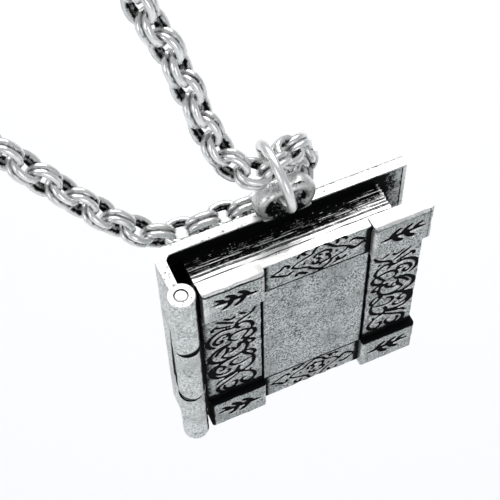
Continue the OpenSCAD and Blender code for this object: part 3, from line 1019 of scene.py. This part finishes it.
# %% Rounded edges
rounding = back_cover.modifiers.new("rounded edges", "BEVEL")
rounding.width = 0.2 * MM
rounding.segments = 3
rounding.limit_method = "ANGLE"
rounding.angle_limit = math.radians(38)
rounding.use_clamp_overlap = True
graph = bpy.context.evaluated_depsgraph_get()
back_cover.data = bpy.data.meshes.new_from_object(back_cover.evaluated_get(graph))
back_cover.modifiers.clear()
print("triangles when rounded", triangles(back_cover))

# %% Strips for the patina and the painted shade to sit on
# The x, the y and the z of the cuts, in book millimetres
STRIPS = ((0.6, 3.0, 20.7, 21.2, 21.9, 22.8, 23.45, 23.58, 23.71),
          (2.75, 2.95, 3.05, 3.2, 3.35, 3.5, 3.65, 3.8, 4.0, 4.2, 4.4, 6.55),
          (4.8, 6.5, 8.1, 9.0, 10.5, 13.0, 16.0, 17.5, 19.0, 24.6, 25.0, 25.7, 26.0))
with edited(back_cover.data) as work:
    for axis, places in enumerate(STRIPS):
        for value in places:
            section(work, axis, value)
smooth(back_cover.data, 40)
print("back cover triangles", triangles(back_cover))

# %% Patina and painted shade of the back cover
local = in_book(back_cover.data)
x, y, z = local.T
radius = np.hypot(x - HINGE_X, y - HINGE_Y)
inner_face = (y < BOOK_T - BACK_T + 0.05) & (y > 1.0) & (x > SPINE_IN_X - 0.15) & (radius > 1.65)
# Darkest beside the pages, fading towards the free edge, with a thin dark line at that edge
shadow = np.interp(x, [20.7, 21.3, 22.0, 22.9, 23.45, 23.58, 23.71],
                   [1.0, 0.88, 0.64, 0.5, 0.42, 0.85, 0.0]) * (z <= 26.05)
# The hollow in the spine that the middle knuckle turns in
notch = (radius < 1.75) & (z > KNUCKLE_Z[1] - 0.5) & (z < KNUCKLE_Z[2] + 0.3) & (radius > 1.5)
# Painted shade of a gap beside the knuckles, drawn on the spine wall, which tapers towards both ends
painted_gap_edge = np.interp(z, STRIPS[2][:9], [2.9, 3.7, 4.1, 4.1, 4.0, 3.8, 3.55, 3.4, 2.9])
painted_gap = smooth_step((painted_gap_edge - y) / 0.24 + 0.5) * smooth_step((y - 2.72) / 0.22)
painted_gap *= (np.abs(x - SPINE_OUT_X) < 0.05) * (z > 5.0) * (z < 18.9)
# Painted shade: a dark line along the top back edge
top_back_edge = (y > 6.6) & (z > 26.0)
patina = np.where(inner_face, shadow, np.maximum(0.62 * top_back_edge, painted_gap))
bore = radius < BORE_R + 0.05
finish_with(back_cover, np.where(notch | bore, 1.0, patina), wall_metal)
inward = np.where((radius > 1.28) & (radius < 1.37), 0.93, 1.0)
local[:, 0] = HINGE_X + (x - HINGE_X) * inward
local[:, 1] = HINGE_Y + (y - HINGE_Y) * inward
back_cover.data.vertices.foreach_set("co", in_frame(local).ravel())
print("patina on the back cover", patina_and_painted_light_of(back_cover).mean().round(3))

# %% The two knuckles of the back cover
low = knuckle(KNUCKLE_Z[0] - 0.01, KNUCKLE_Z[0] + KNUCKLE_LEN, dent=0.05, seed=5, edge=0.16,
              top_seam=(0.3, LEFT_SIDE))
high = knuckle(KNUCKLE_Z[2], COVER_H + 0.01, dent=0.05, seed=8, edge=0.16,
               foot_seam=(0.6, RIGHT_SIDE))
points, faces, patina = join_parts([low, high])
knuckles = new_object("knuckles", in_frame(points), faces)
finish_with(knuckles, patina, wall_metal)
back_cover = join_objects("back_cover_cast", [back_cover, knuckles])
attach(back_cover, "book")
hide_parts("back_cover")
print("with knuckles", triangles(back_cover))

# %% [markdown]
# ## The cast loop
#
# The real loop is an oval band on the top edge, domed outside, nearly flat inside and streaked
# with patina. An extruded ring would have flat sides and sharp rims, so a band's cross section
# is carried round an oval instead. Its foot sinks into the cover.

# %% Cast loop


def flattened(wave, power):
    """A wave raised to a power, with its sign kept. A power under 1 makes it squarer."""
    return np.copysign(np.abs(wave) ** power, wave)


LOOP_THICK = LOOP_BAND + 0.1
around, across = 56, 24
turn = 2 * np.pi * (np.arange(around)[:, None] + 0.5) / around
nx, nz = np.cos(turn), np.sin(turn)
turn = 2 * np.pi * np.arange(across) / across
y = (LOOP_DEPTH + 0.05) / 2 * flattened(np.cos(turn), 0.7)
outwards = LOOP_THICK / 2 * flattened(np.sin(turn), np.where(np.sin(turn) > 0, 1.0, 0.5))
reach = LOOP_R - LOOP_THICK / 2 + 0.03 + outwards
x = LOOP_X + np.copysign(LOOP_HALF, nx) + reach * nx
z = LOOP_Z + reach * nz
points = np.stack([x, LOOP_Y + y + 0 * x, z], -1)
cast_loop = new_object("cast_loop", in_frame(points.reshape(-1, 3)), ring_faces(around, across), 60)
foot = smooth_step(1 - (z - COVER_H) / 0.6)
inside = smooth_step((-0.1 - 2 * outwards / LOOP_THICK) / 0.6)
# Painted shade on the lower and front faces, broken into streaks
low_or_front = np.maximum(smooth_step((-0.1 - y / LOOP_DEPTH) / 0.3), smooth_step((0.75 - nz) / 0.8))
swirl = 1.3 * np.arctan2(nz, nx) + 0 * x
streaks = smooth_step(waver_2d(swirl, 2.2 * points[..., 1], 33) * 1.2 - 0.1)
shade = np.maximum(0.7 * foot, (0.26 + 0.6 * streaks) * low_or_front)
# A painted highlight on the rest of the outside
shade = np.where(shade + inside < 0.05, -0.3, shade)
# The inside holds patina, with painted shade on its left half
finish_with(cast_loop, np.maximum(shade, inside * (0.6 - 0.32 * nx)).ravel(), loop_metal)
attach(cast_loop, "book")
print("loop triangles", triangles(cast_loop))

# %% [markdown]
# ## Page edges
#
# The block of pages is cast too. Its edges are grooves of uneven depth and width that run along
# the top, down the free side and back along the bottom. A profile of random steps is swept round
# those three sides, and wavers a little on the way so that no line is ruler straight. Separate
# leaves would be thin shells, and the casting has none.

# %% Twenty page leaves
PAGE_X, PAGE_Y, PAGE_Z = (0.2, 20.9), (1.8, 5.65), (1.35, 24.95)
PAGE_DEEP, PAGE_STEP = 0.3, 0.2
THICK_LEAVES = 3
leaves, rows = 20, 132
rng = np.random.default_rng(11)
share = np.linspace(0, 1, rows)
leaf_width = rng.uniform(0.55, 1.5, leaves) * np.where(np.arange(leaves) < THICK_LEAVES, 2.9, 1)
leaf_ends = np.cumsum(leaf_width)
leaf_ends /= leaf_ends[-1]
leaf_crest = rng.uniform(0.0, 0.45, leaves)
leaf_light = rng.uniform(0.4, 1.0, leaves)
print("first leaves end at", leaf_ends[:3].round(2))

# %% The path round three sides
corners = np.array([(PAGE_X[0], PAGE_Z[1]), (PAGE_X[1], PAGE_Z[1]), (PAGE_X[1], PAGE_Z[0]),
                    (PAGE_X[0], PAGE_Z[0])])
stations = []
for a, b, side, first in zip(corners, corners[1:], ((0, 1), (1, 0), (0, -1)),
                             ((0, 1), (1, 1), (1, -1))):
    steps = int(math.hypot(*(b - a)) / PAGE_STEP)
    stations += [(*(a + (b - a) * (k / steps)), *(side if k else first)) for k in range(steps)]
stations.append((*corners[3], 0, -1))
count = len(stations)
px, pz, nx, nz = (column[:, None] for column in np.array(stations).T)
print("stations", count)

# %% Grooves between the leaves


def per_leaf(seed, steps):
    """For each leaf, smooth random numbers along the sweep."""
    return np.array([noise_1d(count, seed + i, steps) for i in range(leaves)])


sway = 0.010 * noise_1d(count, 3, 22) + 0.004 * noise_1d(count, 4, 6)
waves = np.array([noise_1d(count, 20 + i, 7) for i in range(9)])
leaf_depth = 0.75 + 0.6 * per_leaf(50, 9)
leaf_highlight_noise = per_leaf(90, 5)
crest_glints = rng.uniform(0, 1, (leaves, count)) ** 4
groove_half = np.where(np.arange(leaves) < THICK_LEAVES, 0.016, 0.009)[:, None]
groove_half = groove_half * (1 + 0.6 * per_leaf(130, 6))
ripple = np.array([np.interp(share, np.linspace(0, 1, 9), wave) for wave in waves.T])
warped = np.clip(share + sway[:, None] + 0.011 * ripple, 0, 0.9999)
leaf = np.searchsorted(leaf_ends, warped)
here = (leaf, np.arange(count)[:, None])
start = np.concatenate([[0], leaf_ends])[leaf]
phase = (warped - start) / (leaf_ends[leaf] - start)
groove = smooth_step(1.3 - np.abs(warped - start - 0.014) / groove_half[here])
groove *= leaf_depth[here] * (start > 0)
deep = PAGE_DEEP * np.clip(np.maximum(groove, leaf_crest[leaf]), 0, 1)
deep[:, [0, -1]] = 0.0
depth = PAGE_Y[0] + (PAGE_Y[1] - PAGE_Y[0]) * share
points = np.stack([px - nx * deep, depth + 0 * deep, pz - nz * deep], -1)
print("deepest groove", deep.max().round(2), "mm")

# %% Page edges: patina in the grooves, darker towards the back, painted highlights on the crests
end_light = 0.14 * smooth_step((px - 15.0) / 5.0)
# Light near the front of the block, darker towards the back
plain = 1 - smooth_step((warped - 0.28 - end_light) / 0.36)
# Painted highlights along the crests of the leaves, with small painted glints
crest = smooth_step(1 - np.abs(phase - 0.66) / 0.36)
crest_highlight = leaf_light[leaf] * crest * np.clip(0.75 + 1.3 * leaf_highlight_noise[here], 0, 1)
crest_highlight *= 1 - smooth_step((warped - 0.66 - end_light) / 0.3)
crest_highlight = np.maximum(crest_highlight, 0.75 * crest * crest_glints[here] * (warped < 0.93))
page_darkness = np.maximum(1 - np.maximum(plain, crest_highlight), np.clip(groove * 1.6, 0, 1))
page_darkness[:, 0] *= 0.25
near_corner = np.abs(px - PAGE_X[1]) + np.minimum(np.abs(pz - PAGE_Z[0]), np.abs(pz - PAGE_Z[1]))
page_darkness = np.clip(page_darkness, 0, 1) * (0.35 + 0.65 * smooth_step(near_corner / 0.5))
print("mean page patina", page_darkness.mean().round(2))

# %% Close the page block
grid = np.arange(count * rows).reshape(count, rows)
faces = np.stack([grid[:-1, :-1], grid[1:, :-1], grid[1:, 1:], grid[:-1, 1:]], -1)
faces = faces.reshape(-1, 4).tolist()
front_edge = points[:, 0]
centre = (front_edge.min(0) + front_edge.max(0)) / 2
inset = count * rows + np.arange(count)
edge = grid[:, 0]
faces += np.stack([edge, np.roll(edge, -1), np.roll(inset, -1), inset], -1).tolist()
faces += [inset.tolist(), grid[:, -1].tolist(), grid[0].tolist() + grid[-1, ::-1].tolist()]
points = np.concatenate([points.reshape(-1, 3), centre + 0.93 * (front_edge - centre)])
page_edges = new_object("page_edges", in_frame(points), faces, 70)
finish_with(page_edges, np.clip(np.append(page_darkness, np.zeros(count)), 0, 1), page_metal)
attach(page_edges, "book")
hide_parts("page_block")
print("page triangles", triangles(page_edges))

# %% [markdown]
# ## Pin, jump ring and clasp
#
# These are small turned and bent parts. The pin is a rod with slightly domed ends, the jump ring
# is round wire with the saw cut where it was closed, and the clasp is a plain barrel. A few rings
# of points are enough for each, so a profile and a formula make them.

# %% Hinge pin
PIN_LOW, PIN_HIGH = -0.7, 26.3
pin_ends = [(0.0, 0.0), (0.2, 0.003), (0.4, 0.012), (0.55, 0.03), (PIN_R, 0.1)]
profile = [(r, PIN_LOW + h) for r, h in pin_ends]
profile += [(r, PIN_HIGH - h) for r, h in reversed(pin_ends)]
points, faces = lathe(profile, 32, (HINGE_X, HINGE_Y))
hinge_pin = new_object("hinge_pin_rod", in_frame(points), faces)
face_outwards(hinge_pin.data, 1e-7)
finish_with(hinge_pin, np.zeros(len(hinge_pin.data.vertices)), wire_metal)
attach(hinge_pin, "book")
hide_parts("hinge_pin")
print("pin triangles", triangles(hinge_pin))

# %% Jump ring
RING_R, WIRE_R, LEAN = 3.2, 0.48, math.radians(9.5)
RING_ASIDE, RING_ROOM = 0.25, 0.39
SAW_CUT, SAW_PLACE = math.radians(1.2), math.radians(70)
ring_up = np.array([-math.sin(LEAN), 0.0, math.cos(LEAN)])
pivot = np.array([LOOP_X - RING_ASIDE, LOOP_Y, LOOP_Z + LOOP_R - LOOP_BAND - WIRE_R - RING_ROOM])
ring_centre = pivot + RING_R * ring_up
ring_side = np.array([0.0, 1.0, 0.0])
ring_normal = np.cross(ring_up, ring_side)
around, sides = 72, 16
turn = (2 * np.pi - SAW_CUT) * np.arange(around + 1)[:, None, None] / around
turn = SAW_CUT / 2 + turn + SAW_PLACE
spin = 2 * np.pi * np.arange(sides)[:, None] / sides
outwards = np.cos(turn) * ring_up + np.sin(turn) * ring_side
wire = np.full((around + 1, 1, 1), WIRE_R)
wire[[0, -1]] *= 0.75
points = ring_centre + (RING_R + wire * np.cos(spin)) * outwards + wire * np.sin(spin) * ring_normal
# A painted highlight along the crown of the wire and painted shade on its flanks; the cut ends are
# black
crown_highlight_and_flank_shade = np.clip(0.14 - 0.45 * np.cos(spin[:, 0] - math.radians(45)), -0.3, 0.28)
patina = np.tile(crown_highlight_and_flank_shade, (around + 1, 1))
patina[[0, -1]] = 1.0
faces = ring_faces(around + 1, sides)[:-sides]
faces += [list(range(sides)), list(range(around * sides, around * sides + sides))]
jump_ring = new_object("jump_ring_wire", in_frame(points.reshape(-1, 3)), faces)
finish_with(jump_ring, patina.ravel(), wire_metal)
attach(jump_ring, "neck_chain")
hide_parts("jump_ring")
print("ring triangles", triangles(jump_ring))

# %% Clasp
CLASP_LEN, CLASP_R = 12.0, 2.2
half = [(0.0, 0.0), (0.9, 0.0), (1.2, 0.12), (1.35, 0.4), (1.75, 1.1), (2.05, 1.7), (2.12, 2.0),
        (1.98, 2.12), (1.98, 2.3), (2.16, 2.42), (CLASP_R, 2.8), (CLASP_R, 5.6), (2.1, 5.75),
        (1.95, 5.8), (1.95, 6.0)]
profile = half + [(r, CLASP_LEN - h) for r, h in reversed(half[:-1])]
upright, faces = lathe(profile, 40, (0, 0))
points = upright[:, [2, 0, 1]] + (-CLASP_LEN / 2, CLASP_R, 0)
clasp = new_object("clasp_barrel", points * MM, faces)
face_outwards(clasp.data, 1e-7)
radial = np.array([math.hypot(v.co.y / MM - CLASP_R, v.co.z / MM) for v in clasp.data.vertices])
finish_with(clasp, np.where((radial > 1.9) & (radial < 2.0), 0.9, 0.0), wire_metal)
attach(clasp, "neck_chain")
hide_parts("clasp")
print("clasp triangles", triangles(clasp))

# %% [markdown]
# ## The chain
#
# Each unit is a pair of oval links side by side, and the next pair goes through it at a right
# angle. About two hundred pairs follow one route, so Geometry Nodes place them: the tree makes
# a link, doubles it, sets a pair on each point of the resampled route and turns every other one.

# %% The route, the same as in the CAD source
ROUTE_RIGHT = [(6.1, 2.2, 0), (16, 1.2, 0), (34, -5, -1), (50, -22, -6), (58, -46, -15),
               (57, -69, -28), (50, -86, -47), (41, -97, -68), (34, -103, -84)]
ROUTE_BOOK = [(1.5, 14.2, 52), (3, 12.2, 46), (4.2, 10.4, 41), (5.1, 8.8, 36.8), (6.3, 7.4, 34),
              (8.1, 6.6, 32.5), (10.2, 6.6, 32.3), (12.2, 7.9, 32), (13.9, 9.3, 30.2),
              (14.9, 9.9, 27.4), (14.4, 10, 24.6), (12.3, 9.9, 22.9), (9.7, 9.6, 22.8),
              (6.8, 9.3, 23.6), (3.6, 9.3, 23.7), (0, 9.7, 23.5), (-3.8, 10.9, 26.2),
              (-8.5, 13, 32), (-14.5, 16, 40)]
ROUTE_LEFT = [(2, -98, -92), (-19, -91, -70), (-38, -80, -49), (-52, -62, -31), (-58, -40, -17),
              (-51, -17, -6), (-34, -4, -1), (-16, 1.2, 0), (-6.1, 2.2, 0)]
knots = np.concatenate([ROUTE_RIGHT, BOOK_AT + ROUTE_BOOK, ROUTE_LEFT])
route = smooth_line(knots, 16) * MM
line = bpy.data.curves.new("chain_route", "CURVE")
line.dimensions = "3D"
spline = line.splines.new("POLY")
spline.points.add(len(route) - 1)
spline.points.foreach_set("co", np.hstack([route, np.ones((len(route), 1))]).ravel())
chain_route = add_object("chain_route", line)
length = np.linalg.norm(np.diff(route, axis=0), axis=1).sum() / MM
print("route length", round(length, 1), "mm")

# %% The chain tree
WHOLE = "NodeSocketInt"
chain_tree, given, results = new_group(
    "double link chain", "GeometryNodeTree",
    [("Geometry", GEOMETRY, None), ("Pairs", WHOLE, 200), ("Link length", FLOAT, 0.0036),
     ("Link width", FLOAT, 0.003), ("Wire radius", FLOAT, 0.0003), ("Pair gap", FLOAT, 0.0007),
     ("Jitter", FLOAT, 0.1), ("Seed", WHOLE, 5), ("Metal", MATERIAL, None)],
    [("Geometry", GEOMETRY, None)])
plus, minus, times, larger = sums(chain_tree)
add = partial(put, chain_tree)
wire = given["Wire radius"]
wire_2 = times(wire, 2.0)
mid_w = minus(given["Link width"], wire_2)
mid_l = minus(given["Link length"], wire_2)
print("chain inputs", [s.name for s in given if s.name])

# %% One oval link
oval = add("GeometryNodeCurvePrimitiveQuadrilateral", {"Width": mid_w, "Height": mid_l},
           mode="RECTANGLE")
corner = times(mid_w, 0.499)
round_oval = add("GeometryNodeFilletCurve", {"Curve": oval, "Radius": corner, "Count": 3,
                                             "Limit Radius": True}, mode="POLY")
wire_ring = add("GeometryNodeCurvePrimitiveCircle", {"Resolution": 6, "Radius": wire},
                mode="RADIUS")
link = add("GeometryNodeCurveToMesh", {"Curve": round_oval, "Profile Curve": wire_ring})
print("nodes for one link", len(chain_tree.nodes))

# %% Patina where the links touch
split = chain_tree.nodes.new("ShaderNodeSeparateXYZ")
chain_tree.links.new(add("GeometryNodeInputPosition"), split.inputs[0])
straight = minus(times(mid_l, 0.5), corner)
beyond = larger(minus(calc(chain_tree, "ABSOLUTE", split.outputs["Y"]), straight), 0.0)
flat_vec = add("ShaderNodeCombineXYZ", {"X": split.outputs["X"], "Y": beyond})
from_axis = add("ShaderNodeVectorMath", {0: flat_vec}, out="Value", operation="LENGTH")
inward = calc(chain_tree, "DIVIDE", minus(corner, from_axis), wire)
between = calc(chain_tree, "DIVIDE", split.outputs["Z"], wire)
hidden = larger(ramp(chain_tree, inward, 0.15, 0.85, 0.0, 0.8),
                ramp(chain_tree, between, 0.4, 1.0, 0.0, 0.6))
marked = keep_patina_and_painted_light(chain_tree, link, hidden)
smooth_link = add("GeometryNodeSetShadeSmooth", {"Geometry": marked})
print("nodes with the patina", len(chain_tree.nodes))

# %% Pairs of links along the route
half_gap = times(given["Pair gap"], 0.5)
pair = chain_tree.nodes.new("GeometryNodeJoinGeometry")
for aside, tilt in ((half_gap, math.pi / 2), (times(half_gap, -1.0), -math.pi / 2)):
    away = add("ShaderNodeCombineXYZ", {"Y": aside})
    half_pair = add("GeometryNodeTransform", {"Geometry": smooth_link, "Translation": away,
                                              "Rotation": (tilt, 0.0, 0.0)})
    chain_tree.links.new(half_pair, pair.inputs[0])
even = add("GeometryNodeResampleCurve", {"Curve": given["Geometry"], "Count": given["Pairs"]},
           mode="COUNT")
to_points = chain_tree.nodes.new("GeometryNodeCurveToPoints")
to_points.mode = "EVALUATED"
chain_tree.links.new(even, to_points.inputs[0])
index = add("GeometryNodeInputIndex")
odd = calc(chain_tree, "MODULO", index, 2.0)
wobble = add("FunctionNodeRandomValue", {"Min": times(given["Jitter"], -1.0),
                                         "Max": given["Jitter"], "ID": index,
                                         "Seed": given["Seed"]}, out="Value", data_type="FLOAT")
spin = plus(calc(chain_tree, "MULTIPLY_ADD", odd, math.pi / 2, math.pi / 4), wobble)
turned = add("FunctionNodeAxisAngleToRotation", {"Axis": (0, 0, 1), "Angle": spin})
facing = add("FunctionNodeRotateRotation", {"Rotation": to_points.outputs["Rotation"],
                                            "Rotate By": turned}, rotation_space="LOCAL")
pairs_set = add("GeometryNodeInstanceOnPoints", {"Points": to_points.outputs["Points"],
                                                 "Instance": pair.outputs[0],
                                                 "Rotation": facing})
end_tree(chain_tree, pairs_set, given["Metal"], results["Geometry"])
print("nodes in the chain tree", len(chain_tree.nodes))

# %% Set the links
PITCH = 2.25
pairs = int(round(length / PITCH))
chain_mesh = run_nodes(chain_route, chain_tree,
                       {"Pairs": pairs, "Link length": 3.7 * MM, "Link width": 3.0 * MM,
                        "Wire radius": 0.36 * MM, "Pair gap": 0.74 * MM, "Jitter": 0.12,
                        "Seed": 5, "Metal": chain_metal})
face_outwards(chain_mesh)
chain_mesh.shade_smooth()
chain_links = add_object("chain_links", chain_mesh)
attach(chain_links, "neck_chain")
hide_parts("chain")
print(pairs, "pairs,", triangles(chain_links), "triangles")

# %% [markdown]
# ## Close the lesson
#
# The last cell adds up the triangles of every piece that is shown. The visual model has to stay
# inside the CAD model's box, give or take a few percent.

# %% Triangles in all
total = sum(triangles(o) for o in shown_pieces() if o.type == "MESH")
print("triangles in all", total)
